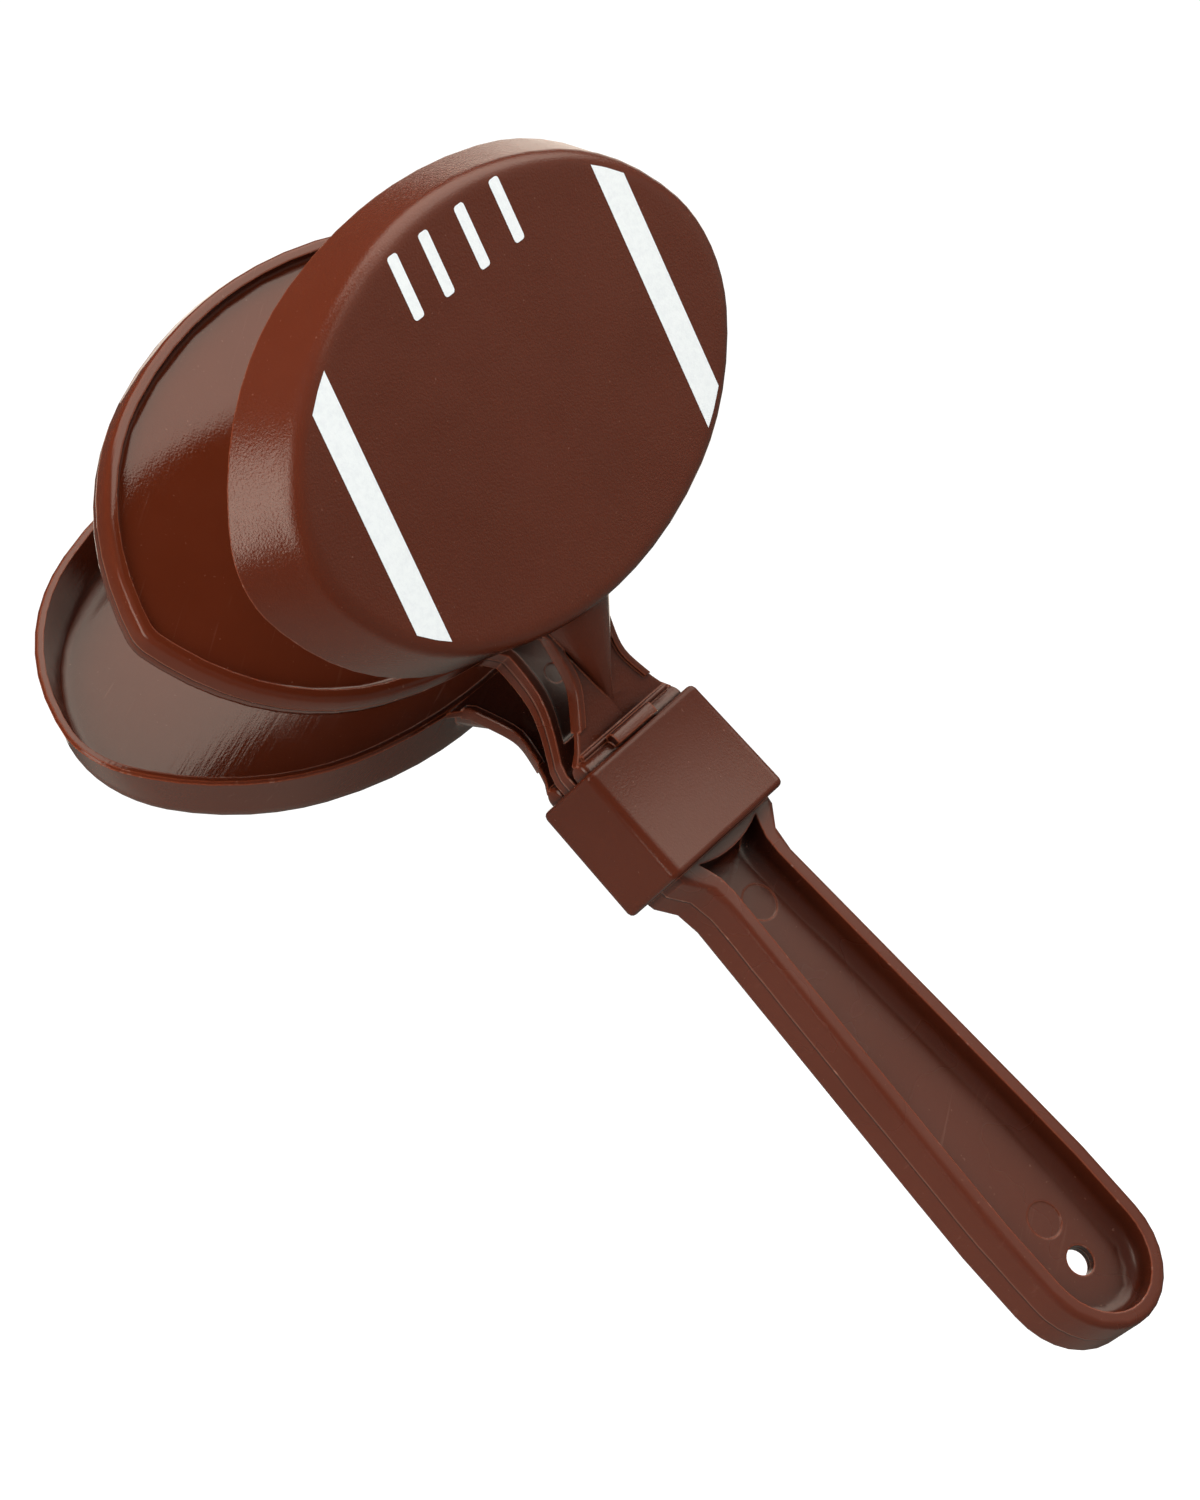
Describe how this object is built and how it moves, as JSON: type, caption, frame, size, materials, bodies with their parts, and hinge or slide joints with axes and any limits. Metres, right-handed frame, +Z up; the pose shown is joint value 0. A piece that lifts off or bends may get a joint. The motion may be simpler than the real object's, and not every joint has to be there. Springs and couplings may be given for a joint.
{
  "type": "hand clapper",
  "caption": "Plastic hand clapper: a flat oval centre paddle on a long grip, with a hollow oval paddle hinged in a collar on each side to clap against it when shaken.",
  "frame": {"origin": "middle of the grip, on the centre line and half way through its thickness", "axes": "+Z up the grip towards the paddles, +X to the right, the front paddle towards -Y"},
  "size_m": [0.1086, 0.1112, 0.216],
  "materials": {
    "brown_plastic": "reddish brown moulded plastic, semi-gloss, slightly translucent at thin edges",
    "collar_plastic": "reddish brown moulded plastic, fine satin"
  },
  "bodies": {
    "handle": {"handle_and_centre_paddle": "brown_plastic", "collar": "collar_plastic"},
    "front_clapper": {"front_paddle": "brown_plastic"},
    "rear_clapper": {"rear_paddle": "brown_plastic"}
  },
  "joints": [
    {"name": "front_hinge", "type": "hinge", "parent": "handle", "child": "front_clapper", "pos_m": [0, -0.0044, 0.0711], "axis": [-1, 0, 0], "range_deg": [0, 27]},
    {"name": "rear_hinge", "type": "hinge", "parent": "handle", "child": "rear_clapper", "pos_m": [0, 0.0044, 0.0711], "axis": [1, 0, 0], "range_deg": [0, 27]}
  ]
}
